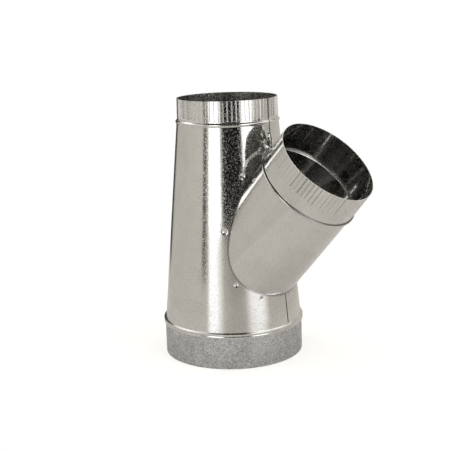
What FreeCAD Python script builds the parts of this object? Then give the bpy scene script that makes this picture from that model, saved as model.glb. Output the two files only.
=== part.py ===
import FreeCAD, Part
import math
import os

Vec = FreeCAD.Vector

# Sheet metal duct wye: a tapered trunk from a large plain collar to a small crimped end,
# with a round branch of the small size leaning out of its side. The origin is the centre
# of the bottom rim, +Z runs up the trunk and the branch leans towards +X.

# Sheet, 26 gauge galvanised steel
sheet = 0.55
fold_gap = 0.05  # air between the layers of a flattened fold

# Base collar, the plain large end
collar_bore_r = 101.8
collar_height = 46.0  # bottom rim to the underside of the lock seam

# Lock seam that joins the base collar to the trunk
lock_height = 6.2
lock_shoulder = 0.8  # fall of the seam's top from the trunk out to its edge
lock_proud = 1.9  # how far the seam stands out from the base collar

# Trunk, a taper from the lock seam to the bead
trunk_foot_inset = 0.7  # how much smaller the foot is than the base collar's bore
trunk_top_r = 74.0
trunk_height = 377.0
trunk_bead_depth = 33.0  # rim to the middle of the bead

# Branch tube
branch_r = 72.6
branch_angle = 41.0  # between the axes of branch and trunk
branch_root_z = 97.0  # where the two axes meet
branch_length = 263.5  # from there to the branch's rim
branch_bead_depth = 49.0
flange_width = 14.0  # turned-out edge that lies against the inside of the trunk

# Crimped end, made with the same tools on trunk and branch
end_r = 73.2
bead_rise = 2.2
bead_width = 5.4
bead_crown_width = 2.0
crimp_count = 74
crimp_depth = 1.3
crimp_inset = 0.1  # how much smaller the crests are than the round collar below them
crimp_taper = 0.994  # the rim's size as a share of the size where the crimps are full
crimp_runout = 4.0  # stretch over which a crimp comes to its full depth
branch_crimp_length = 30.0  # on the trunk the crimps start right at the bead

# Lengthwise lap seams: one edge stops at a fine gap over the other, which is joggled
lap_width = 12.0
lap_joggle = 1.5
lap_gap = 0.6

# Worked out from the sizes above
origin = Vec(0, 0, 0)
up = Vec(0, 0, 1)
collar_r = collar_bore_r + sheet
lock_r = collar_r + lock_proud
lock_top_z = collar_height + lock_height + lock_shoulder
lock_edge_z = collar_height + lock_height
lock_inside_z = lock_top_z - sheet
lock_flange_z = lock_edge_z - 2 * sheet - fold_gap  # underside of the base collar's flange
trunk_foot_r = collar_bore_r - trunk_foot_inset
trunk_bead_z = trunk_height - trunk_bead_depth
trunk_cone_top_z = trunk_bead_z - bead_width / 2
cone_slope = (trunk_foot_r - trunk_top_r) / (trunk_cone_top_z - lock_top_z)
cone_wall = sheet * math.hypot(1, cone_slope)
crimp_flank = math.atan(crimp_depth / (math.pi * end_r / crimp_count))
crimp_wall = sheet / math.cos(crimp_flank)
branch_bead_z = branch_length - branch_bead_depth


def trunkRadius(z):
    """Outer radius of the trunk's taper at a height."""
    return trunk_foot_r - cone_slope * (z - lock_top_z)


def turned(section, degrees=360.0, start=0.0):
    """Solid swept by a closed (radius, height) section about the Z axis."""
    points = [Vec(r, 0, z) for r, z in section]
    solid = Part.Face(Part.makePolygon(points + points[:1])).revolve(origin, up, degrees)
    solid.rotate(origin, up, start)
    return solid


def beadOutline(z, below_r, above_r):
    """Outside of a bead as (radius, height) points from its upper foot down to its lower one."""
    crown_r = above_r + bead_rise
    return [
        (above_r, z + bead_width / 2),
        (crown_r, z + bead_crown_width / 2),
        (crown_r, z - bead_crown_width / 2),
        (below_r, z - bead_width / 2),
    ]


def inward(outline, wall=sheet):
    """The inside of an outline, in the opposite order."""
    return [(r - wall, z) for r, z in reversed(outline)]


def rowOfPoints(radius, z, half_steps):
    """A point on each crest (half_steps 0) or in each valley (half_steps 1) at a height."""
    row = []
    for i in range(crimp_count):
        angle = math.pi * (2 * i + half_steps) / crimp_count
        row.append(Vec(radius * math.cos(angle), radius * math.sin(angle), z))
    return row


def flatFace(points):
    """Flat face with straight edges."""
    return Part.Face(Part.makePolygon(points + points[:1]))


def ringFace(outer, inner):
    """Flat face between two closed rows of points."""
    wires = [Part.makePolygon(row + row[:1]) for row in (outer, inner)]
    return Part.makeFace(Part.makeCompound(wires), "Part::FaceMakerBullseye")


def crimpSide(crest_r, foot_z, rim_z):
    """One side of the crimped sheet: its row of points at the foot, at the rim, and its faces."""
    valley_r = crest_r - crimp_depth
    full_z = foot_z + crimp_runout
    full_scale = 1 - (1 - crimp_taper) * crimp_runout / (rim_z - foot_z)
    foot = rowOfPoints(crest_r, foot_z, 0)
    full = rowOfPoints(valley_r * full_scale, full_z, 1)
    crest = rowOfPoints(crest_r * crimp_taper, rim_z, 0)
    valley = rowOfPoints(valley_r * crimp_taper, rim_z, 1)
    faces = []
    for i in range(crimp_count):
        j = (i + 1) % crimp_count
        faces.append(flatFace([foot[i], foot[j], full[i]]))
        faces.append(flatFace([foot[i], full[i], valley[i], crest[i]]))
        faces.append(flatFace([full[i], foot[j], crest[j], valley[i]]))
    rim = [point for pair in zip(crest, valley) for point in pair]
    return foot, rim, faces


def crimpedRing(foot_z, rim_z):
    """The crimped stretch of an end: the sheet is folded in and out all the way round."""
    crest_r = end_r - crimp_inset
    outer_foot, outer_rim, outer_faces = crimpSide(crest_r, foot_z, rim_z)
    inner_foot, inner_rim, inner_faces = crimpSide(crest_r - crimp_wall, foot_z, rim_z)
    ends = [ringFace(outer_foot, inner_foot), ringFace(outer_rim, inner_rim)]
    shell = Part.makeShell(outer_faces + inner_faces + ends)
    shell.sewShape()
    solid = Part.makeSolid(shell)
    if solid.Volume < 0:
        solid.reverse()
    return solid


def lapStrip(low, high, azimuth, side=-1):
    """Covering edge of a lap seam, between two (radius, height) points of the wall.

    They are on its inside, or with side 1 on its outside."""
    back = side * sheet
    section = [low, high, (high[0] + back, high[1]), (low[0] + back, low[1])]
    mean_r = (low[0] + high[0]) / 2
    before = math.degrees(lap_joggle / mean_r)
    return turned(section, before + math.degrees(lap_width / mean_r), azimuth - before)


def lapGap(low, high, azimuth, stops=(True, True), side=-1):
    """Cut for the gap beside the edge of a lap seam, between the points of its strip.

    At a low or high end where it stops, it is shorter than the strip behind it."""
    slope = (high[0] - low[0]) / (high[1] - low[1])
    low_z = low[1] + lap_joggle * stops[0]
    high_z = high[1] - lap_joggle * stops[1]
    inside = [(low[0] + slope * (z - low[1]), z) for z in (low_z, high_z)]
    section = inside + [(r - side * 2 * sheet, z) for r, z in reversed(inside)]
    mean_r = (low[0] + high[0]) / 2
    return turned(section, math.degrees(lap_gap / mean_r), azimuth)


def alongBranch(shape):
    """Moves a shape from the branch's own frame, axis up, to its place on the trunk."""
    placed = shape.copy()
    placed.rotate(origin, Vec(0, 1, 0), branch_angle)
    placed.translate(Vec(0, 0, branch_root_z))
    return placed


def branchCylinder(radius):
    """Solid cylinder on the branch's axis, from the trunk's axis to the branch's rim."""
    return alongBranch(Part.makeCylinder(radius, branch_length))


def makeBaseCollar():
    """Plain ring whose top edge is turned out as a flange for the lock seam."""
    flange_r = lock_r - sheet - fold_gap
    section = [
        (collar_bore_r, 0),
        (collar_r, 0),
        (collar_r, lock_flange_z),
        (flange_r, lock_flange_z),
        (flange_r, lock_flange_z + sheet),
        (collar_bore_r, lock_flange_z + sheet),
    ]
    low, high = (collar_r, 0), (collar_r, collar_height)
    back = 180.0  # the collar's own seam is behind, lapped outside to keep the bore smooth
    collar = turned(section).cut(lapGap(low, high, back, (False, True), side=1))
    return collar.fuse(lapStrip(low, high, back, side=1))


def insideRadius(z):
    """Inner radius of the trunk's taper at a height."""
    return trunkRadius(z) - cone_wall


def trunkSection():
    """Half section of the trunk: bead, taper and the foot folded down over the collar's flange."""
    hem_top_z = lock_flange_z - fold_gap  # the pressed hem catches under the flange
    bead = beadOutline(trunk_bead_z, trunk_top_r, end_r)
    fold = [
        (trunk_foot_r, lock_top_z),
        (lock_r, lock_edge_z),
        (lock_r, collar_height),
        (lock_r - 2 * sheet, collar_height),
        (lock_r - 2 * sheet, hem_top_z),
        (lock_r - sheet, hem_top_z),
        (lock_r - sheet, lock_edge_z - sheet),
        (insideRadius(lock_inside_z), lock_inside_z),
    ]
    return bead + fold + [(insideRadius(trunk_cone_top_z), trunk_cone_top_z)] + inward(bead)[1:]


def makeTrunk():
    """Tapered trunk with its crimped end, lap seam and the hole for the branch."""
    seam = [(insideRadius(z), z) for z in (lock_inside_z, trunk_cone_top_z)]
    strip = lapStrip(*seam, 0.0).cut(branchCylinder(branch_r + flange_width + fold_gap))
    trunk = turned(trunkSection()).cut(lapGap(*seam, 0.0)).cut(branchCylinder(branch_r))
    return trunk.multiFuse([crimpedRing(trunk_bead_z + bead_width / 2, trunk_height)] + strip.Solids)


def coneShell(outer_inset, inner_inset):
    """Part of the taper's thickness, between two distances in from its outside."""
    low, high = lock_top_z, trunk_cone_top_z
    return turned([
        (trunkRadius(low) - inner_inset, low),
        (trunkRadius(low) - outer_inset, low),
        (trunkRadius(high) - outer_inset, high),
        (trunkRadius(high) - inner_inset, high),
    ])


def branchTube():
    """Branch tube in its own frame, with its bead, crimped end and lap seam at the crotch."""
    foot_z = branch_length - branch_crimp_length
    outline = [(end_r, foot_z)] + beadOutline(branch_bead_z, branch_r, end_r) + [(branch_r, 0)]
    tube = turned(outline + inward(outline)).fuse(crimpedRing(foot_z, branch_length))
    crotch = 180.0
    low = (branch_r - sheet, 0)
    high = (branch_r - sheet, branch_bead_z - bead_width / 2)
    tube = tube.cut(lapGap(low, high, crotch, (False, True)))
    return tube.fuse(lapStrip(low, high, crotch))


def makeBranch():
    """Branch with its end cut to the trunk and turned out as a flange inside it."""
    flange_inset = cone_wall + fold_gap
    flange_inside = flange_inset + cone_wall
    core = [(trunkRadius(z) - flange_inside, z) for z in (0, trunk_height)]
    tube = alongBranch(branchTube()).cut(turned([(0, 0)] + core + [(0, trunk_height)]))
    flange = coneShell(flange_inset, flange_inside)
    flange = flange.common(branchCylinder(branch_r + flange_width))
    flange = flange.cut(branchCylinder(branch_r))
    return tube.fuse(flange).removeSplitter()


def writePart(name, shape):
    """Writes one node and prints what it is."""
    if shape.ShapeType != "Solid":
        solids = shape.Solids
        shape = solids[0] if len(solids) == 1 else Part.makeCompound(solids)
    shape.exportStep(f"parts/{name}.step")
    print(name, "solids", len(shape.Solids), "valid", shape.isValid(), "mm3", round(shape.Volume, 1))


os.makedirs("parts", exist_ok=True)
writePart("base_collar", makeBaseCollar())
writePart("trunk", makeTrunk())
writePart("branch", makeBranch())
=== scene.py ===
import math
import bpy
import numpy as np
from mathutils import Matrix, Vector


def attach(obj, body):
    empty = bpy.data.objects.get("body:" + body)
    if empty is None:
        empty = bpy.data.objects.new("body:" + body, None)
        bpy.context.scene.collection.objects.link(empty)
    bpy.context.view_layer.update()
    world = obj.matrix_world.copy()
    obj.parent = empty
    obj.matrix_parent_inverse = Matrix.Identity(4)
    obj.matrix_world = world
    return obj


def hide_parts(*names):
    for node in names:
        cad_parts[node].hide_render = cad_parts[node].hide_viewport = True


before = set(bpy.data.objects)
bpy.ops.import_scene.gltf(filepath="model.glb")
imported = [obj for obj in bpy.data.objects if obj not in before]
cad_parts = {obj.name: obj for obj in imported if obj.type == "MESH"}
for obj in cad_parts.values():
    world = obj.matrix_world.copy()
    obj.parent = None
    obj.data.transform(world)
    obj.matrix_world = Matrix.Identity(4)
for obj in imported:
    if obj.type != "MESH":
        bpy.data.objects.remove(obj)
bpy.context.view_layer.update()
print("frame loaded")

# Sizes are millimetres until a mesh is made. The origin is the centre of the bottom rim,
# +Z runs up the trunk and the branch leans towards +X.

toMetres = 0.001
fullTurn = 2 * math.pi
tiny = 0.02  # step used to work out how a surface leans
aboutRadius = 80.0  # makes an angle of that step on a turned sheet

sheet = {
    "thickness": 0.55,
    "foldGap": 0.05,  # left between two sheets that are folded together
    "seamGap": 1.4,  # the fine gap along a lap seam's edge
    "seamCut": (-0.1, 0.05),  # the cut edge on one side of the gap
    "seamBend": 1.3,  # the soft bend on its other side
    "seamDepth": 0.5,
    "seamDark": (-0.6, -0.2, 0.3, 0.8),  # painted shadow and dirt along a seam: starts and is full before the cut, fades and ends past the gap
    "lapWidth": 12.0,  # how far the two edges of a lap seam overlap
    "joggle": 1.5,  # how far the step of the covering edge lies before the seam
}


# Mesh making

class Shell:  # one skin of sheet metal, gathered from grids of points
    def __init__(self, name):
        self.name = name
        self.points, self.normals, self.shade, self.faces = [], [], [], []
        self.count = 0

    def grid(self, points, normals, shade=0.0):  # rows that each close on themselves
        rows, columns = points.shape[:2]
        across = points[:-1, 1] - points[:-1, 0]
        upward = points[1:, 0] - points[:-1, 0]
        facing = np.sum(np.cross(across, upward) * normals[:-1, 0]) >= 0
        here = np.arange(columns)
        there = (here + 1) % columns
        for row in range(rows - 1):
            low, high = self.count + row * columns, self.count + (row + 1) * columns
            quads = np.stack([low + here, low + there, high + there, high + here], 1)
            self.faces.extend((quads if facing else quads[:, ::-1]).tolist())
        self.points.append(points.reshape(-1, 3))
        self.normals.append(normals.reshape(-1, 3))
        self.shade.append(np.broadcast_to(shade, (rows, columns)).reshape(-1))
        self.count += rows * columns

    def edge(self, first, second, facing):  # the cut edge between the two sides of the sheet
        normals = np.broadcast_to(facing, first.shape)
        self.grid(np.stack([first, second]), np.stack([normals, normals]))

    def make(self, material):
        mesh = bpy.data.meshes.new(self.name)
        mesh.from_pydata((np.concatenate(self.points) * toMetres).tolist(), [], self.faces)
        mesh.polygons.foreach_set("use_smooth", [True] * len(mesh.polygons))
        mesh.normals_split_custom_set_from_vertices(np.concatenate(self.normals).tolist())
        # painted shade, stored on the points: it darkens the colour in seam gaps, punches, fold bottoms,
        # round the hole and past the bead
        shade = mesh.attributes.new("gapShade", "FLOAT", "POINT")
        shade.data.foreach_set("value", np.concatenate(self.shade).astype(np.float32))
        mesh.materials.append(material)
        piece = bpy.data.objects.new(self.name, mesh)
        bpy.context.collection.objects.link(piece)
        print(self.name, "made of", len(self.faces), "faces")
        return piece


def unit(vectors):
    return vectors / np.linalg.norm(vectors, axis=-1, keepdims=True)


def step(value, low, high):  # 0 below low and 1 above high, with soft ends
    share = np.clip((value - low) / (high - low), 0, 1)
    return share * share * (3 - 2 * share)


def fromSeam(azimuth, seamAt):  # signed angle from a seam, the short way round
    return (azimuth - seamAt + math.pi) % fullTurn - math.pi


def run(*corners, arcSteps=6):  # (radius, height, fillet) corners to (radius, height, outR, outZ) rows
    flat = [np.array(corner[:2], float) for corner in corners]
    rows = []
    for i, here in enumerate(flat):
        if i in (0, len(flat) - 1):
            along = unit(flat[1] - here if i == 0 else here - flat[-2])
            rows.append((*here, along[1], -along[0]))
            continue
        back, ahead = unit(flat[i - 1] - here), unit(flat[i + 1] - here)
        fillet = corners[i][2]
        half = math.acos(np.clip(back @ ahead, -1, 1)) / 2
        centre = here + unit(back + ahead) * fillet / math.sin(half)
        reach = fillet / math.tan(half)
        first, second = (unit(here + way * reach - centre) for way in (back, ahead))
        side = 1 if first @ np.array([-back[1], back[0]]) > 0 else -1
        for share in np.linspace(0, 1, arcSteps + 1):
            way = unit(first * (1 - share) + second * share)
            rows.append((*(centre + way * fillet), *(way * side)))
    return np.array(rows)


def straight(start, end):  # two rows with one normal between them
    start, end = np.array(start, float), np.array(end, float)
    along = unit(end - start)
    return np.hstack([np.stack([start, end]), np.tile([along[1], -along[0]], (2, 1))])


def inside(profile):  # the other side of the sheet
    side = profile.copy()
    side[:, :2] -= profile[:, 2:] * sheet["thickness"]
    side[:, 2:] *= -1
    return side


def level(azimuth, height):  # no relief
    return np.zeros(np.broadcast(azimuth, height).shape)


def turned(profile, azimuths, relief=level):  # a lathe, with a relief that moves the sheet in or out
    radius, height, outR, outZ = (profile[:, k][:, None] for k in range(4))
    azimuth = azimuths[None, :]
    turn = tiny / aboutRadius
    moved = radius + relief(azimuth, height)
    around = (relief(azimuth + turn, height) - relief(azimuth - turn, height)) / (2 * turn)
    upward = (relief(azimuth, height + tiny) - relief(azimuth, height - tiny)) / (2 * tiny)
    outT, outUp = -around / moved * outR, outZ - upward * outR
    cosine, sine = np.cos(azimuth), np.sin(azimuth)
    outX, outY = outR * cosine - outT * sine, outR * sine + outT * cosine
    points = np.stack(np.broadcast_arrays(moved * cosine, moved * sine, height), -1)
    return points, unit(np.stack(np.broadcast_arrays(outX, outY, outUp), -1))


def measured(surface, first, second, outward, firstStep=tiny):  # points of a surface, with its normals
    points = surface(first, second)
    alongFirst = surface(first + firstStep, second) - surface(first - firstStep, second)
    alongSecond = surface(first, second + tiny) - surface(first, second - tiny)
    normals = unit(np.cross(alongFirst, alongSecond))
    flip = np.sign(np.sum(normals * outward(points), -1, keepdims=True))
    return points, normals * flip


def fromAxis(points):
    return points * np.array([1.0, 1.0, 0.0])


def towardsAxis(points):
    return -fromAxis(points)


# Lap seams

def seamGroove(across):  # fine gap at a lap seam's edge, then the soft bend of the sheet under it
    gap = sheet["seamGap"]
    drop = step(across, *sheet["seamCut"]) * (1 - step(across, gap, gap + sheet["seamBend"]))
    return -sheet["seamDepth"] * drop


def seamShade(across):  # how strongly the painted shadow and dirt of a seam's gap darken a place
    gap = sheet["seamGap"]
    start, full, fade, end = sheet["seamDark"]
    return step(across, start, full) * (1 - step(across, gap + fade, gap + end))


def lapBehind(across):  # the covering edge of a lap seam, on the sheet's other side
    start, end = -sheet["joggle"], sheet["lapWidth"]
    return sheet["thickness"] * (step(across, start, start + 0.15) - step(across, end, end + 0.08))


seamColumns = np.concatenate([  # close together at the gap and at the two ends of the lap
    np.arange(-13.5, -2.2, 1.0),
    [-2.0, -1.7, -1.5, -1.42, -1.35, -1.1, -0.8, -0.6, -0.4, -0.2, -0.1, -0.05, 0.0, 0.05, 0.3, 0.7,
     1.1, 1.4, 1.7, 1.95, 2.2, 2.45, 2.7],
    np.arange(3.0, sheet["lapWidth"], 1.0),
    sheet["lapWidth"] + np.array([0.0, 0.04, 0.08, 1.5]),
])


def columnsAround(count, seamAt, radius):  # azimuths all round, with close ones at the seam
    even = seamAt + np.arange(count) * fullTurn / count
    even = even[np.abs(fromSeam(even, seamAt)) > (seamColumns[-1] + 0.4) / radius]
    return np.sort(np.concatenate([seamAt + seamColumns / radius, even % fullTurn]))


# Crimped end, the same on trunk and branch

crimps = {
    "count": 74,
    "depth": 1.3,
    "crestRadius": 73.1,
    "taper": 0.994,
    "runOut": 4.0,  # length over which a fold deepens
    "flank": (0.015, 0.14),  # where a fold's side starts and ends, in pitches from its middle
    "shadeFlank": (0.02, 0.09),  # where its painted shade does
    "columns": (0.015, 0.04, 0.065, 0.09, 0.115, 0.14, 0.19, 0.3, 0.44),  # on each side of a fold
    "trunkWeakest": 0.55,  # depth of the faintest fold, as a share of the full one
    "branchWeakest": 0.2,
    "shade": 0.42,  # painted shade in the bottom of the branch's folds
}
crimpStrength = np.random.default_rng(7).random(crimps["count"])


def foldAt(azimuth):  # distance from the nearest fold's middle in pitches, and how strong that fold is
    turns = azimuth * crimps["count"] / fullTurn
    return np.abs(turns % 1 - 0.5), crimpStrength[np.floor(turns).astype(int) % crimps["count"]]


# painted shade in the bottom of each fold, stronger on deeper folds
def foldShade(azimuth):
    away, strength = foldAt(azimuth)
    return crimps["shade"] * strength * (1 - step(away, *crimps["shadeFlank"]))


def rimSeam(azimuth):  # the lap seam's edge, with its painted shadow and dirt, runs on across the trunk's crimped end
    return seamShade(fromSeam(azimuth, 0.0) * crimps["crestRadius"])


def upright(points, normals):  # the trunk's own way up, as onBranch is the branch's
    return points, normals


def crimpedEnd(shell, low, high, weakest, shade, place):
    def relief(azimuth, height):
        away, strength = foldAt(azimuth)
        depth = crimps["depth"] * (weakest + (1 - weakest) * strength)
        return -depth * (1 - step(away, *crimps["flank"])) * step(height, low, foldsFull)

    near = np.array(crimps["columns"])
    folds = np.arange(crimps["count"])[:, None] + 0.5 + np.concatenate([[-0.5], -near[::-1], near])
    columns = folds.reshape(-1) * fullTurn / crimps["count"]
    foldsFull = low + crimps["runOut"]
    heights = np.concatenate([low + crimps["runOut"] * np.linspace(0, 1, 7), [(foldsFull + high) / 2, high]])
    share = (heights - low) / (high - low)
    radius = crimps["crestRadius"] * (1 - (1 - crimps["taper"]) * share)
    outer = np.stack([radius, heights, np.ones_like(radius), np.zeros_like(radius)], 1)
    both = []
    for profile, dark in ((outer, shade(columns)), (inside(outer), 0.0)):
        points, normals = place(*turned(profile, columns, relief))
        shell.grid(points, normals, dark)
        both.append(points[-1])
    facing = place(np.zeros((1, 1, 3)), np.array([[[0.0, 0.0, 1.0]]]))[1][0, 0]
    shell.edge(*both, facing)


# Trunk and branch: where their sheets meet

trunk = {
    "footRadius": 101.1,
    "footHeight": 53.0,
    "topRadius": 74.0,
    "taperTop": 341.3,
    "beadHeight": 344.0,
    "beadRadius": 75.4,
    "beadTop": 347.6,
    "rimHeight": 377.0,
    "lockRadius": 104.25,
    "lockLow": 46.0,
    "lockEdge": 52.2,
    "lockGroove": 49.0,
    "grooveDepth": 0.45,
    "seamFrom": (53.8, 55.2),  # heights over which the lap seam's gap opens
    "holeClearance": (0.3, 0.95),  # at the crotch, and round the rest of the hole
    "holeWidens": (35, 75),  # degrees from the crotch
    "holeDark": (0.4, 0.95),  # strength of the painted shade line round the hole, below the branch and elsewhere
    "holeDarkens": (25, 60),  # degrees from the heel
    "gridLow": 55.5,  # the wall's grid round the hole
    "gridHigh": 340.0,
    "middleRadius": 90.0,
    "holeColumns": 240,  # on each side of the hole
    "closeRows": 20,  # next to the hole, 1 mm apart
    "farRows": 18,  # beyond them, wider and wider apart
    "farSpread": 1.25,
}

branch = {
    "radius": 72.6,
    "tilt": math.radians(41.0),
    "rootHeight": 97.0,
    "length": 263.5,
    "beadAlong": 214.5,
    "beadLow": 211.3,
    "bandRadius": 73.2,
    "crimpsFrom": 233.5,
    "flangeWidth": 14.0,
    "beadShade": 0.9,  # painted shade line just past the bead
    "beadDark": (0.6, 1.8, 2.3, 2.9),  # starts, is full, fades and ends past the bead's middle
    "seamUntil": (1.5, 0.3),  # the lap seam's gap closes this far below the bead
}

marks = {  # dished joints that pin the branch's flange behind the trunk
    "places": (  # degrees round from the crotch, distance from the branch's axis, radius of the dish
        (5, 85.0, 6.5), (15, 86.0, 3.6), (2, 94.0, 3.2),
        (36, 83.5, 4.8), (-36, 83.5, 4.8), (68, 79.0, 5.0), (-68, 79.0, 5.0),
        (114, 77.0, 3.8), (-114, 77.0, 3.8), (146, 76.5, 3.2), (-158, 77.6, 4.0)),
    "dishDepth": 0.325,  # as a share of the dish's radius
    "punchRadius": 1.9,
    "punchDepth": 0.5,
    "punchOff": (0.5, -0.7, -0.9),  # the punch sits off the middle of its dish
    # painted shade in the middle of each punch
    "punchShade": 0.85,
    "swell": ((75.9, -1.0, 320.0), 12.0, 1.6),  # centre, radius and height of the bulge above the crotch
    "creaseDepth": 0.3,  # of the fan of creases round the first place
    "creaseCount": 11,
    "creaseReach": (3.0, 7.0, 14.0, 26.0),  # where it starts, is full, fades and ends
}

slope = (trunk["footRadius"] - trunk["topRadius"]) / (trunk["taperTop"] - trunk["footHeight"])
taperWall = sheet["thickness"] * math.hypot(1, slope)
flangeInset = taperWall + sheet["foldGap"]
tiltCosine, tiltSine = math.cos(branch["tilt"]), math.sin(branch["tilt"])


def taperRadius(height):
    return trunk["footRadius"] - slope * (height - trunk["footHeight"])


def whereTrunk(azimuth, radius, inset):  # how far along the branch a line of its tube meets the trunk
    x, y = radius * np.cos(azimuth) * tiltCosine, radius * np.sin(azimuth)
    z = branch["rootHeight"] - radius * np.cos(azimuth) * tiltSine
    reach = taperRadius(z) - inset
    fall = slope * tiltCosine
    a, b, c = tiltSine ** 2 - fall ** 2, x * tiltSine + reach * fall, x ** 2 + y ** 2 - reach ** 2
    return (-b + np.sqrt(b * b - a * c)) / a


def leanOver(vectors):  # directions of the branch's own frame turned to where it leans
    x, y, z = vectors[..., 0], vectors[..., 1], vectors[..., 2]
    return np.stack([x * tiltCosine + z * tiltSine, y, z * tiltCosine - x * tiltSine], -1)


def onBranch(points, normals):
    return leanOver(points) + np.array([0, 0, branch["rootHeight"]]), leanOver(normals)


def branchPoint(azimuth, radius, along):
    local = np.stack(np.broadcast_arrays(radius * np.cos(azimuth), radius * np.sin(azimuth), along), -1)
    return leanOver(local) + np.array([0, 0, branch["rootHeight"]])


markCentres = []
for angle, ring, dish in marks["places"]:
    azimuth = math.pi + math.radians(angle)
    markCentres.append((branchPoint(azimuth, ring, whereTrunk(azimuth, ring, 0.0)), dish))


def distance(points, place):
    return np.linalg.norm(points - place, axis=-1)


def creaseRelief(points):  # folds that fan out from the first mark
    start, full, fade, end = marks["creaseReach"]
    offset = points - markCentres[0][0]
    away = np.linalg.norm(offset, axis=-1)
    crease = np.cos(marks["creaseCount"] * np.arctan2(offset[..., 2], offset[..., 1]))
    return marks["creaseDepth"] * crease * step(away, start, full) * (1 - step(away, fade, end))


def markRelief(points):  # soft dishes, each with a small punch, and the bulge and creases by the crotch
    centre, reach, rise = marks["swell"]
    relief = rise * (1 - step(distance(points, np.array(centre)), 0.0, reach)) + creaseRelief(points)
    for centre, dish in markCentres:
        punch = centre + np.array(marks["punchOff"])
        relief -= marks["dishDepth"] * dish * (1 - step(distance(points, centre), 0.6, dish))
        relief -= marks["punchDepth"] * (1 - step(distance(points, punch), 0.3, marks["punchRadius"]))
    return relief


# painted shade in each mark's small punch
def punchShade(points):
    punches = [centre + np.array(marks["punchOff"]) for centre, dish in markCentres]
    nearest = np.min([distance(points, punch) for punch in punches], axis=0)
    return marks["punchShade"] * (1 - step(nearest, 0.6, marks["punchRadius"]))


# Trunk: taper, bead, crimped end, and the foot folded down over the base collar

def wallSurface(inset, extra):  # the taper as a surface of the distance round it and the height
    def surface(across, height):
        azimuth = across / trunk["middleRadius"]
        base = taperRadius(height)
        flat = np.stack([base * np.cos(azimuth), base * np.sin(azimuth), height], -1)
        radius = base - inset + markRelief(flat) + extra(across)
        return np.stack([radius * np.cos(azimuth), radius * np.sin(azimuth), height], -1)
    return surface


def holeEdge(inset):  # the hole's edge unrolled, at the columns of the wall's grid
    aside = 0.3  # radians to each side of heel and crotch, which hold the seam's columns
    dense = np.linspace(-aside, fullTurn - aside, 6001)
    tight, wide = trunk["holeClearance"]

    def unrolled(azimuth):
        fromCrotch = np.abs(np.degrees(azimuth) - 180)
        hole = branch["radius"] + tight + (wide - tight) * step(fromCrotch, *trunk["holeWidens"])
        points = branchPoint(azimuth, hole, whereTrunk(azimuth, hole, inset))
        return np.arctan2(points[..., 1], points[..., 0]) * trunk["middleRadius"], points[..., 2]

    across, height = unrolled(dense)
    heel, crotch = np.abs(dense) < aside, np.abs(dense - math.pi) < aside
    atHeel = np.interp(seamColumns, across[heel], dense[heel])
    atCrotch = np.interp(seamColumns, across[crotch][::-1], dense[crotch][::-1])[::-1]
    length = np.concatenate([[0], np.cumsum(np.hypot(np.diff(across), np.diff(height)))])
    low, high = np.interp([atHeel[-1], atCrotch[0]], dense, length)
    rising = np.interp(np.linspace(low, high, trunk["holeColumns"] + 1)[1:-1], length, dense)
    falling = (fullTurn - rising)[::-1]
    azimuths = np.concatenate([atHeel, rising, atCrotch, falling])
    across, height = unrolled(azimuths)
    parts = (("heel", atHeel), ("side", rising), ("crotch", atCrotch), ("side", falling))
    return azimuths, across, height, np.array([name for name, columns in parts for column in columns])


def wallGrid(inset):  # columns run from the hole's edge out to the ends and the back of the taper
    azimuths, across, height, part = holeEdge(inset)
    middle = 0.5 * (height.max() + height.min())
    halfRound = math.pi * trunk["middleRadius"]
    low, high = trunk["gridLow"], trunk["gridHigh"]
    up = height - middle
    reach = np.minimum(halfRound / np.maximum(np.abs(across), 1e-9),
                       np.where(up > 0, high - middle, middle - low) / np.maximum(np.abs(up), 1e-9))
    farAcross = np.where(part == "side", across * reach, across)
    farHeight = np.where(part == "heel", low, np.where(part == "crotch", high, middle + up * reach))
    for cornerAcross in (-halfRound, halfRound):
        for cornerHeight in (low, high):
            nearest = int(np.argmin(np.hypot(farAcross - cornerAcross, farHeight - cornerHeight)))
            farAcross[nearest], farHeight[nearest] = cornerAcross, cornerHeight
    span = np.hypot(farAcross - across, farHeight - height)
    close, far = trunk["closeRows"], trunk["farRows"]
    distances = [np.full_like(span, away) for away in (0, 0.35, *range(1, close + 1))]
    distances += [close + (span - close) * (row / far) ** trunk["farSpread"] for row in range(1, far + 1)]
    share = np.array(distances) / span
    return across + share * (farAcross - across), height + share * (farHeight - height), azimuths


def jointShade(azimuths):  # painted shade line round the hole, faint below the branch
    faint, full = trunk["holeDark"]
    fromHeel = np.degrees(np.abs(fromSeam(azimuths, 0.0)))
    strength = faint + (full - faint) * step(fromHeel, *trunk["holeDarkens"])
    return np.array([1.0, 0.9, 0.0])[:, None] * strength  # on the first three rows


def trunkWall(shell):
    edges = []
    for inset, extra, outward in ((0.0, seamGroove, fromAxis),
                                  (taperWall, lambda across: -lapBehind(across), towardsAxis)):
        across, height, azimuths = wallGrid(inset)
        points, normals = measured(wallSurface(inset, extra), across, height, outward)
        # painted shade of the seam's gap, the punches and the hole's edge, on the outer side only
        shade = np.maximum(seamShade(across), punchShade(points))
        shade[:3] = np.maximum(shade[:3], jointShade(azimuths))
        shell.grid(points, normals, shade if inset == 0 else 0.0)
        edges.append(points[0])
    around = np.stack([-np.cos(azimuths), -np.sin(azimuths), np.zeros_like(azimuths)], -1)
    shell.edge(*edges, leanOver(around))


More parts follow.
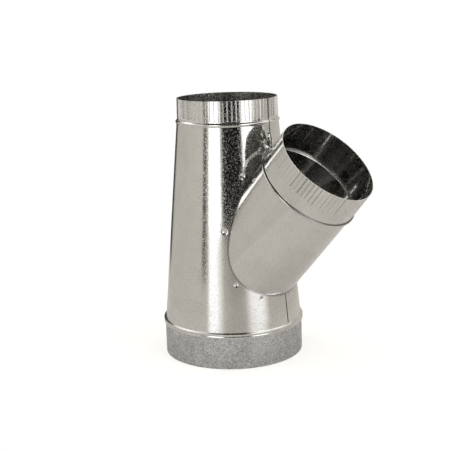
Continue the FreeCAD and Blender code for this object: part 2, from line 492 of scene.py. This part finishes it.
def trunkRings(shell):  # the bead, and the foot's folded ring with its hem behind
    def seamOpens(height):
        return step(height, *trunk["seamFrom"])

    def groove(azimuth, height):
        return seamGroove(fromSeam(azimuth, 0.0) * trunk["middleRadius"]) * seamOpens(height)

    columns = columnsAround(240, 0.0, trunk["middleRadius"])
    # painted shadow and dirt along the seam
    shade = seamShade(fromSeam(columns, 0.0) * trunk["middleRadius"])
    bead = run((taperRadius(trunk["gridHigh"]), trunk["gridHigh"], 0),
               (trunk["topRadius"], trunk["taperTop"], 0.8),
               (trunk["beadRadius"], trunk["beadHeight"] - 1.1, 2.0),
               (trunk["beadRadius"], trunk["beadHeight"] + 1.1, 2.0),
               (crimps["crestRadius"], trunk["beadHeight"] + 2.7, 0.8),
               (crimps["crestRadius"], trunk["beadTop"], 0))
    hem = trunk["lockRadius"] - 2 * sheet["thickness"]
    lock = run((hem, trunk["lockLow"], 0),
               (trunk["lockRadius"], trunk["lockLow"], 0.5),
               (trunk["lockRadius"], trunk["lockGroove"] - 1.2, 0.5),
               (trunk["lockRadius"] - trunk["grooveDepth"], trunk["lockGroove"], 0.4),
               (trunk["lockRadius"], trunk["lockGroove"] + 1.0, 0.4),
               (trunk["lockRadius"], trunk["lockEdge"], 0.9),
               (trunk["footRadius"], trunk["footHeight"], 0.6),
               (taperRadius(trunk["gridLow"]), trunk["gridLow"], 0))
    shell.grid(*turned(bead, columns, groove), shade)
    shell.grid(*turned(lock, columns, groove), shade * seamOpens(lock[:, 1])[:, None])
    shell.grid(*turned(inside(bead), columns))
    under = trunk["lockEdge"] - sheet["thickness"]
    fold = trunk["lockRadius"] - sheet["thickness"]
    hemTop = under - sheet["thickness"] - 2 * sheet["foldGap"]
    insideFoot = trunk["footHeight"] - sheet["thickness"]
    corners = [(taperRadius(trunk["gridLow"]) - taperWall, trunk["gridLow"]),
               (taperRadius(insideFoot) - taperWall, insideFoot),
               (fold, under), (fold, hemTop), (hem, hemTop), (hem, trunk["lockLow"])]
    for start, end in zip(corners, corners[1:]):
        shell.grid(*turned(straight(start, end), columns))


def makeTrunk(material):
    shell = Shell("trunkShell")
    trunkWall(shell)
    trunkRings(shell)
    crimpedEnd(shell, trunk["beadTop"], trunk["rimHeight"], crimps["trunkWeakest"], rimSeam, upright)
    return shell.make(material)


# Branch: tube with bead and crimped end, and the flange turned out behind the trunk's wall

def branchTube(shell, columns):
    beadLow, beadRadius = branch["beadLow"], trunk["beadRadius"]

    def seamCloses(height):
        return 1 - step(height, beadLow - branch["seamUntil"][0], beadLow - branch["seamUntil"][1])

    def groove(azimuth, height):
        return seamGroove((azimuth - math.pi) * branch["radius"]) * seamCloses(height)

    def lap(azimuth, height):
        return -lapBehind((azimuth - math.pi) * branch["radius"]) * seamCloses(height)

    def tube(radius, side, inset, relief):  # rows are close at the saddle and below the bead
        low = whereTrunk(columns, radius, inset)
        share = np.concatenate([np.linspace(0, 0.06, 6), np.linspace(0.06, 0.97, 20)[1:],
                                np.linspace(0.97, 1, 6)[1:]])
        along = low + share[:, None] * (beadLow - low)
        profile = np.array([[radius, 0.0, side, 0.0]] * len(share))
        points, normals = turned(profile, columns, lambda azimuth, height: relief(azimuth, along))
        points[..., 2] = along
        return onBranch(points, normals)

    # painted shadow and dirt along the seam
    shade = seamShade((columns - math.pi) * branch["radius"])
    shell.grid(*tube(branch["radius"], 1.0, flangeInset, groove), shade)
    shell.grid(*tube(branch["radius"] - sheet["thickness"], -1.0, flangeInset + taperWall, lap))
    bead = branch["beadAlong"]
    band = run((branch["radius"], beadLow, 0),
               (branch["radius"], bead - 2.7, 0.8),
               (beadRadius, bead - 1.0, 1.8),
               (beadRadius, bead + 1.0, 1.8),
               (branch["bandRadius"], bead + 2.7, 0.8),
               (branch["bandRadius"], branch["crimpsFrom"] - 6.0, 1.0),
               (crimps["crestRadius"], branch["crimpsFrom"], 0))
    # painted shade line just past the bead, on the outer side only
    start, full, fade, end = branch["beadDark"]
    past = band[:, 1] - bead
    line = step(past, start, full) * (1 - step(past, fade, end))
    for profile, dark in ((band, branch["beadShade"] * line[:, None]), (inside(band), 0.0)):
        shell.grid(*onBranch(*turned(profile, columns)), dark)


def branchFlange(shell, columns):
    def flangeSurface(inset):
        def surface(azimuth, radius):
            base = branchPoint(azimuth, radius, whereTrunk(azimuth, radius, 0.0))
            points = branchPoint(azimuth, radius, whereTrunk(azimuth, radius, inset))
            return points + unit(fromAxis(points)) * markRelief(base)[..., None]
        return surface

    bore = branch["radius"] - sheet["thickness"]
    edges = []
    for inset, outward, start in ((flangeInset, fromAxis, branch["radius"]),
                                  (flangeInset + taperWall, towardsAxis, bore)):
        radius = np.linspace(start, branch["radius"] + branch["flangeWidth"], 16)[:, None]
        azimuth, radius = np.broadcast_arrays(columns[None, :], radius)
        points, normals = measured(flangeSurface(inset), azimuth, radius, outward, tiny / branch["radius"])
        shell.grid(points, normals)
        edges.append(points[-1])
    around = np.stack([np.cos(columns), np.sin(columns), np.zeros_like(columns)], -1)
    shell.edge(*edges, leanOver(around))


def makeBranch(material):
    shell = Shell("branchShell")
    columns = columnsAround(360, math.pi, branch["radius"])
    branchTube(shell, columns)
    crimpedEnd(shell, branch["crimpsFrom"], branch["length"], crimps["branchWeakest"], foldShade, onBranch)
    branchFlange(shell, columns)
    return shell.make(material)


# Base collar: a plain ring, lapped at the back

baseCollar = {
    "boreRadius": 101.8,
    "flangeRadius": 103.65,
    "flangeLow": 51.05,
    "gapWidth": 0.6,  # between the two edges of the sheet, in the bore
}


def makeBaseCollar(material):
    shell = Shell("baseCollarShell")
    bore, low = baseCollar["boreRadius"], baseCollar["flangeLow"]
    outerRadius, top = bore + sheet["thickness"], low + sheet["thickness"]
    lock = trunk["lockLow"]
    columns = columnsAround(180, math.pi, bore)

    def lap(azimuth, height):
        return lapBehind((azimuth - math.pi) * bore) * (1 - step(height, lock, lock + 0.1))

    def gap(azimuth, height):
        across = (azimuth - math.pi) * bore
        end = baseCollar["gapWidth"]
        edge = step(across, -0.05, 0.05) - step(across, end - 0.05, end + 0.05)
        return sheet["seamDepth"] * edge * (1 - step(height, lock - 2, lock - 1.9))

    lapEnds = [lock + past for past in (-2.0, -1.95, -1.9, -0.1, 0, 0.03, 0.07, 0.1)]
    side = np.array([[outerRadius, height, 1.0, 0.0] for height in (0, 0.4, 12, 24, 36, *lapEnds, low)])
    outer = turned(side, columns, lap)
    inner = turned(inside(side), columns, gap)
    shell.grid(*outer)
    shell.grid(*inner)
    shell.edge(outer[0][0], inner[0][0], np.array([0.0, 0.0, -1.0]))
    flange = baseCollar["flangeRadius"]
    corners = [(outerRadius, low), (flange, low), (flange, top), (bore, top), (bore, low)]
    for start, end in zip(corners, corners[1:]):
        shell.grid(*turned(straight(start, end), columns))
    return shell.make(material)


# Materials

class Wire:  # a socket of a node tree, with the sums that are made on it
    def __init__(self, tree, socket=None):
        self.tree, self.socket = tree, socket

    def node(self, kind, settings=None, values=None, out=0):
        made = self.tree.nodes.new(kind)
        for name, value in (settings or {}).items():
            if name == "stops":
                self.fillRamp(made.color_ramp, value)
            else:
                setattr(made, name, value)
        for name, value in (values or {}).items():
            if isinstance(value, Wire):
                self.tree.links.new(value.socket, made.inputs[name])
            else:
                made.inputs[name].default_value = value
        return Wire(self.tree, made.outputs[out] if len(made.outputs) else None)

    def fillRamp(self, ramp, stops):
        while len(ramp.elements) < len(stops):
            ramp.elements.new(1.0)
        for element, (position, grey) in zip(ramp.elements, stops):
            element.position = position
            element.color = (grey, grey, grey, 1.0)

    def output(self, out):  # another output of the same node
        return Wire(self.tree, self.socket.node.outputs[out])

    def maths(self, operation, first, second=None):
        values = {0: first} if second is None else {0: first, 1: second}
        return self.node("ShaderNodeMath", {"operation": operation}, values)

    def __add__(self, other):
        return self.maths("ADD", self, other)

    def __radd__(self, other):
        return self.maths("ADD", other, self)

    def __sub__(self, other):
        return self.maths("SUBTRACT", self, other)

    def __rsub__(self, other):
        return self.maths("SUBTRACT", other, self)

    def __mul__(self, other):
        return self.maths("MULTIPLY", self, other)

    def __rmul__(self, other):
        return self.maths("MULTIPLY", other, self)

    def __truediv__(self, other):
        return self.maths("DIVIDE", self, other)

    def __rtruediv__(self, other):
        return self.maths("DIVIDE", other, self)

    def between(self, low, high, first=0.0, second=1.0):
        return self.node("ShaderNodeMapRange", {"interpolation_type": "SMOOTHSTEP"}, {
            "Value": self, "From Min": low, "From Max": high, "To Min": first, "To Max": second})

    def blend(self, first, second):
        def colour(value):
            return value if isinstance(value, Wire) else (*value, 1.0)

        values = {0: self, 6: colour(first), 7: colour(second)}
        return self.node("ShaderNodeMix", {"data_type": "RGBA"}, values, 2)


def newMaterial(name):
    material = bpy.data.materials.new(name)
    material.use_nodes = True
    material.node_tree.nodes.clear()
    return material, Wire(material.node_tree)


def noise(place, scale, detail, roughness=0.5, out=0):
    return place.node("ShaderNodeTexNoise", {}, {
        "Vector": place, "Scale": scale, "Detail": detail, "Roughness": roughness}, out)


brightZinc = {
    "colour": (0.74, 0.73, 0.713),
    "shade": (0.67, 0.66, 0.643),
    # near black, for the painted shade
    "paintedShadeColour": (0.03, 0.03, 0.028),
    "roughness": 0.06,
    "cloudRoughness": 0.02,  # added by the patterns and in the gaps
    "spotRoughness": 0.25,
    "gapRoughness": 0.4,
    "cloud": 38.0,  # sizes of the three patterns, per metre
    "grain": 480.0,
    "speckle": 700.0,
    "cloudRange": (0.38, 0.66),  # where a pattern goes from none to full
    "speckleRange": (0.4, 0.7),
    "spotRange": (0.52, 0.64),
    "grainHeight": 0.00005,  # metres
}


def makeBrightZinc():
    material, bench = newMaterial("brightZincSheet")
    place = bench.node("ShaderNodeTexCoord", out=3)
    grain = noise(place, brightZinc["grain"], 2.0)
    speckle = noise(place, brightZinc["speckle"], 1.0)
    cloud = noise(place, brightZinc["cloud"], 3.0, 0.6).between(*brightZinc["cloudRange"])
    # painted shade from the mesh, blended over the colour as near black
    gap = bench.node("ShaderNodeAttribute", {"attribute_name": "gapShade"}, out=2)
    tone = cloud * 0.6 + speckle.between(*brightZinc["speckleRange"]) * 0.3
    colour = tone.blend(brightZinc["colour"], brightZinc["shade"])
    spots = speckle.between(*brightZinc["spotRange"]) * brightZinc["spotRoughness"]
    rough = brightZinc["roughness"] + cloud * brightZinc["cloudRoughness"] + spots
    bump = bench.node("ShaderNodeBump", {}, {
        "Strength": 1.0, "Distance": brightZinc["grainHeight"], "Height": grain * 0.7 + speckle * 0.3})
    skin = bench.node("ShaderNodeBsdfPrincipled", {}, {
        "Base Color": gap.blend(colour, brightZinc["paintedShadeColour"]), "Metallic": 1.0,
        "Roughness": rough + gap * brightZinc["gapRoughness"], "Normal": bump})
    bench.node("ShaderNodeOutputMaterial", {}, {"Surface": skin})
    return material


dullZinc = {
    "colour": (0.80, 0.80, 0.814),
    "shade": (0.28, 0.28, 0.288),
    "roughness": 0.25,
    "cloud": 60.0,  # sizes of the patterns, per metre
    "spangle": 700.0,
    "fine": 900.0,
    "warp": 220.0,  # bends the edges of the spangle
    "warpShare": 0.004,
    "cloudRange": (0.35, 0.65),
    "fineRange": (0.3, 0.7),
    "grainHeight": 0.00012,  # metres
}


def makeDullZinc():
    material, bench = newMaterial("dullZincSheet")
    place = bench.node("ShaderNodeTexCoord", out=3)
    warp = noise(place, dullZinc["warp"], 3.0, out=1)
    bent = bench.node("ShaderNodeMix", {"data_type": "VECTOR"}, {
        0: dullZinc["warpShare"], 4: place, 5: warp}, 1)
    flakes = bench.node("ShaderNodeTexVoronoi", {}, {"Vector": bent, "Scale": dullZinc["spangle"]}, 1)
    flake = bench.node("ShaderNodeSeparateColor", {}, {"Color": flakes})
    fine = noise(place, dullZinc["fine"], 2.0)
    cloud = noise(place, dullZinc["cloud"], 4.0, 0.65)
    tone = flake * 0.7 + (fine.between(*dullZinc["fineRange"]) - 0.5) * 0.6
    tone = tone + (cloud.between(*dullZinc["cloudRange"]) - 0.5) * 0.12 + 0.12
    bump = bench.node("ShaderNodeBump", {}, {
        "Strength": 1.0, "Distance": dullZinc["grainHeight"], "Height": fine * 0.6 + flake * 0.4})
    skin = bench.node("ShaderNodeBsdfPrincipled", {}, {
        "Base Color": tone.blend(dullZinc["colour"], dullZinc["shade"]), "Metallic": 1.0,
        "Roughness": dullZinc["roughness"] + flake * 0.2 + fine * 0.06, "Normal": bump})
    bench.node("ShaderNodeOutputMaterial", {}, {"Surface": skin})
    return material


# Pieces

bright, dull = makeBrightZinc(), makeDullZinc()
pieces = (
    (makeTrunk(bright), "trunk", "bright_galvanised"),
    (makeBranch(bright), "branch", "bright_galvanised"),
    (makeBaseCollar(dull), "base_collar", "dull_galvanised"),
)
for piece, node, finish in pieces:
    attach(piece, "root")
    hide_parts(node)
print("pieces placed")


# Studio: floor, a surround that the metal mirrors, and the camera. Sizes are metres.

studio = {
    "floorRadius": 0.42,
    "floorColour": (0.63, 0.607, 0.567),
    "floorGlow": (0.08, 0.57),  # for the metal and for the camera
    "skyGlow": (0.5, 1.0),
    "wallRadius": 1.5,
    "wallLow": -1.2,
    "wallHigh": 1.3,
    "front": -50.69,  # where the camera stands, degrees round from +X
    "strength": 1.81,
    "discSides": 96,  # of the round floor and ceiling
    "wallSides": 128,
    "warmth": (1.03, 0.99, 0.905),  # of what isn't pale on the wall
    "paleRange": (0.4, 0.7),  # brightness between warm and pale
    "beige": (0.325, 0.31, 0.281),
    "topBands": (  # degrees round from the camera, right positive, and brightness
        (-180, 0.05), (-155, 0.05), (-146, 0.75), (-60, 0.8), (-48, 0.05), (26, 0.02),
        (32, 0.9), (62, 0.9), (100, 0.7), (140, 0.5), (152, 0.05), (180, 0.05)),
    "bands": (
        (-180, 0.10), (-175, 0.03), (-149, 0.03), (-141, 0.31), (-100, 0.32), (-61, 0.36), (-56, 0.36),
        (-53.5, 0.14), (-51, 0.04), (-49, 0.06), (-46, 0.2), (-43, 0.3), (-40, 1.3), (-21, 1.3),
        (-16, 0.25), (-12, 0.03), (-6, 0.005), (23, 0.005), (27, 0.1), (30, 1.1), (52, 1.1),
        (56, 0.4), (64, 0.28), (95, 0.28), (110, 0.32), (180, 0.32)),
    "lowBands": (
        (-180, 0.10), (-175, 0.03), (-149, 0.03), (-141, 0.31), (-100, 0.33), (-61, 0.33), (-56, 0.33),
        (-53.5, 0.15), (-51, 0.06), (-49, 0.08), (-46, 0.2), (-43, 0.3), (-39, 0.84), (-28, 0.80),
        (-14, 0.26), (0, 0.21), (14, 0.20), (20, 0.24), (30, 0.62), (46, 0.72), (52, 0.62),
        (62, 0.29), (95, 0.28), (110, 0.34), (180, 0.34)),
    "baseBands": (
        (-180, 0.10), (-175, 0.03), (-149, 0.03), (-141, 0.31), (-100, 0.33), (-44, 0.33),
        (-38, 0.84), (-28, 0.80), (-14, 0.30), (0, 0.25), (14, 0.25), (20, 0.28), (30, 0.62),
        (46, 0.72), (52, 0.62), (62, 0.29), (180, 0.33)),
    "topEdge": (0.92, 1.05),  # heights where one row of bands gives way to the next
    "bandEdge": (0.11, 0.17),
    "stripeEnd": (-0.06, 0.02),  # the narrow stripe on the left ends here
    "floorLine": (-0.24, -0.13),  # and under this all is beige
    "ceiling": (0.06, 0.058, 0.045),  # its dark middle
    "ceilingFade": (0.8, 1.05),  # distance from the middle where the dark ends
    "ceilingGain": 1.3,  # how much brighter the ceiling is than the wall
    "lampPower": 7.0,
    "lampSize": 1.6,
    "lampHeight": 1.25,
}


def ringOfPoints(radius, height, sides):
    angles = np.arange(sides) * fullTurn / sides
    return np.stack([radius * np.cos(angles), radius * np.sin(angles), np.full(sides, height)], 1)


def plainPiece(name, points, faces, material):
    mesh = bpy.data.meshes.new(name)
    mesh.from_pydata(points.tolist(), [], faces)
    mesh.materials.append(material)
    piece = bpy.data.objects.new(name, mesh)
    bpy.context.collection.objects.link(piece)
    return piece


def stageDisc(name, radius, height, material):
    sides = studio["discSides"]
    disc = plainPiece(name, ringOfPoints(radius, height, sides), [list(range(sides))], material)
    return disc


def stageWall(material):
    sides = studio["wallSides"]
    rings = [ringOfPoints(studio["wallRadius"], studio[height], sides) for height in ("wallLow", "wallHigh")]
    faces = [[k, (k + 1) % sides, sides + (k + 1) % sides, sides + k] for k in range(sides)]
    wall = plainPiece("studioWall", np.concatenate(rings), faces, material)
    wall.visible_camera = False


def makeFloorMaterial():
    material, bench = newMaterial("floorPaper")
    seen = bench.node("ShaderNodeLightPath", out=0)
    paper = bench.node("ShaderNodeBsdfDiffuse", {}, {"Color": (*studio["floorColour"], 1.0)})
    glow = bench.node("ShaderNodeEmission", {}, {
        "Color": (1.0, 1.0, 1.0, 1.0), "Strength": seen.between(0, 1, *studio["floorGlow"])})
    both = bench.node("ShaderNodeAddShader", {}, {0: paper, 1: glow})
    bench.node("ShaderNodeOutputMaterial", {}, {"Surface": both})
    return material


def makeWallMaterial():  # for the wall and the ceiling
    material, bench = newMaterial("studioBands")
    place = bench.node("ShaderNodeTexCoord", out=3)
    along = bench.node("ShaderNodeSeparateXYZ", {}, {"Vector": place})
    across, height = along.output(1), along.output(2)
    turn = bench.maths("ARCTAN2", across, along) / fullTurn - studio["front"] / 360 + 0.5
    share = bench.maths("FRACT", turn)
    top, high, low, base = (bench.node("ShaderNodeValToRGB", {
        "stops": [((degrees + 180) / 360, value) for degrees, value in studio[name]]}, {"Fac": share})
        for name in ("topBands", "bands", "lowBands", "baseBands"))
    lower = height.between(*studio["stripeEnd"]).blend(base, low)
    upper = height.between(*studio["topEdge"]).blend(high, top)
    mixed = height.between(*studio["bandEdge"]).blend(lower, upper)
    paleness = bench.node("ShaderNodeSeparateColor", {}, {"Color": mixed}).between(*studio["paleRange"])
    tinted = bench.node("ShaderNodeMix", {"data_type": "RGBA", "blend_type": "MULTIPLY"}, {
        0: 1 - paleness, 6: mixed, 7: (*studio["warmth"], 1.0)}, 2)
    lit = height.between(*studio["floorLine"]).blend(studio["beige"], tinted)
    away = bench.maths("POWER", along * along + across * across, 0.5)
    darkest = [value / studio["strength"] / studio["ceilingGain"] for value in studio["ceiling"]]
    colour = away.between(*studio["ceilingFade"]).blend(darkest, lit)
    gain = height.between(studio["wallHigh"] - 0.03, studio["wallHigh"] - 0.01, 1.0, studio["ceilingGain"])
    gained = bench.node("ShaderNodeVectorMath", {"operation": "SCALE"}, {0: colour, "Scale": gain})
    glow = bench.node("ShaderNodeEmission", {}, {"Color": gained, "Strength": studio["strength"]})
    bench.node("ShaderNodeOutputMaterial", {}, {"Surface": glow})
    return material


def makeLamp():
    lamp = bpy.data.lights.new("overheadLamp", "AREA")
    lamp.shape, lamp.size, lamp.energy = "DISK", studio["lampSize"], studio["lampPower"]
    overhead = bpy.data.objects.new("overheadLamp", lamp)
    overhead.location = (0.0, 0.0, studio["lampHeight"])
    overhead.visible_glossy = overhead.visible_camera = False
    bpy.context.collection.objects.link(overhead)


def makeWorld():
    world = bpy.data.worlds.new("studioWorld")
    bpy.context.scene.world = world
    world.use_nodes = True
    world.node_tree.nodes.clear()
    sky = Wire(world.node_tree)
    seen = sky.node("ShaderNodeLightPath", out=0)
    background = sky.node("ShaderNodeBackground", {}, {
        "Color": (1.0, 1.0, 1.0, 1.0), "Strength": seen.between(0, 1, *studio["skyGlow"])})
    sky.node("ShaderNodeOutputWorld", {}, {"Surface": background})


view = {
    "azimuth": math.radians(39.31),
    "elevation": math.radians(12.56),
    "roll": math.radians(-1.83),
    "distance": 1.48735,
    "target": Vector((-0.01102, 0.0, 0.18612)),
    "lens": 80.0,
    "sensor": 36.0,
}


def makeCamera():
    azimuth, elevation, roll = view["azimuth"], view["elevation"], view["roll"]
    flat = math.cos(elevation)
    back = Vector((math.sin(azimuth) * flat, -math.cos(azimuth) * flat, math.sin(elevation)))
    right = Vector((math.cos(azimuth), math.sin(azimuth), 0.0))
    up = back.cross(right)
    rolledRight = right * math.cos(roll) + up * math.sin(roll)
    rolledUp = up * math.cos(roll) - right * math.sin(roll)
    lens = bpy.data.cameras.new("camera")
    lens.lens, lens.sensor_width = view["lens"], view["sensor"]
    lens.clip_start, lens.clip_end = 0.05, 50.0
    camera = bpy.data.objects.new("camera", lens)
    bpy.context.collection.objects.link(camera)
    turn = Matrix((rolledRight, rolledUp, back)).transposed().to_4x4()
    camera.matrix_world = Matrix.Translation(view["target"] + back * view["distance"]) @ turn
    bpy.context.scene.camera = camera


stageDisc("floor", studio["floorRadius"], 0.0, makeFloorMaterial())
surround = makeWallMaterial()
stageDisc("ceiling", studio["wallRadius"], studio["wallHigh"], surround).visible_camera = False
stageWall(surround)
makeLamp()
makeWorld()
makeCamera()
bpy.context.scene.view_settings.view_transform = "Standard"
print("studio ready")
